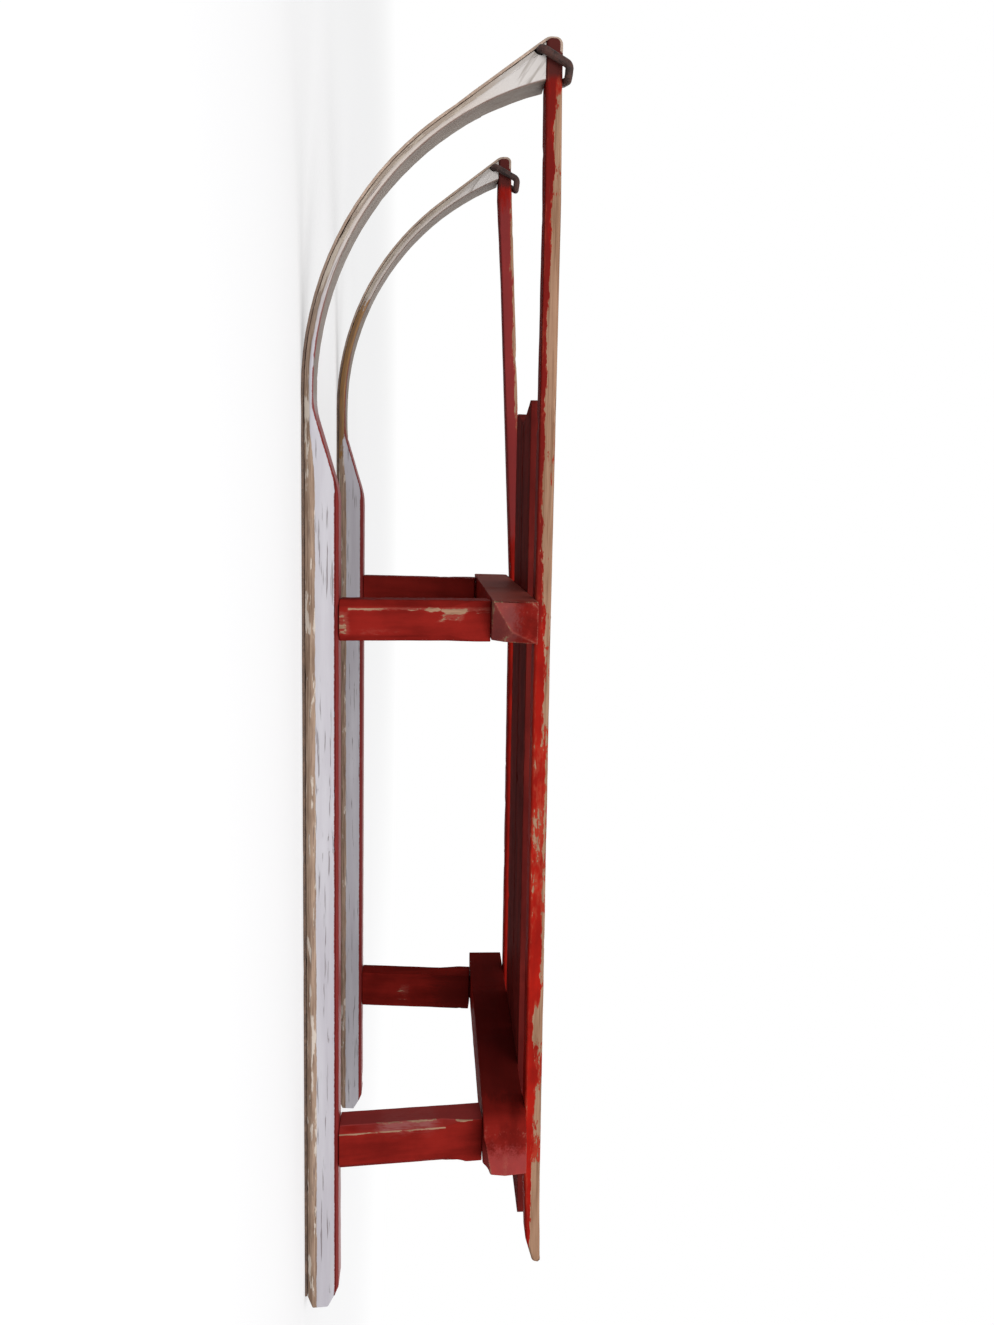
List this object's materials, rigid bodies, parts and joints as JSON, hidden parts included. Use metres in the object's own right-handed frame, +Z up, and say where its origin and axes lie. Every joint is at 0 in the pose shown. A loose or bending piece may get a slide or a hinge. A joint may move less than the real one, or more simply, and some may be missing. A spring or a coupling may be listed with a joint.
{
  "type": "wooden hand sledge",
  "caption": "Old wooden sledge: bent iron-shod runners, leaning posts, whittled crossbeams, side rails and seat slats, with an iron tow ring round each tip.",
  "frame": {"origin": "on the floor under the middle of the bounding box", "axes": "+X forward to the turned-up tips, +Y to the sledge's left, +Z up from the iron soles to the seat"},
  "size_m": [1.153, 0.41, 0.2271],
  "materials": {
    "white_wood": "worn matt paint",
    "red_wood": "worn satin paint",
    "old_iron": "rusted"
  },
  "bodies": {
    "root": {"runner_left": "white_wood", "runner_right": "white_wood", "shoe_left": "old_iron", "shoe_right": "old_iron", "tow_ring_left": "old_iron", "tow_ring_right": "old_iron", "rail_left": "red_wood", "rail_right": "red_wood", "slat_left": "red_wood", "slat_right": "red_wood", "post_front_left": "red_wood", "post_front_right": "red_wood", "post_rear_left": "red_wood", "post_rear_right": "red_wood", "crossbeam_front": "red_wood", "crossbeam_rear": "red_wood"}
  },
  "joints": []
}
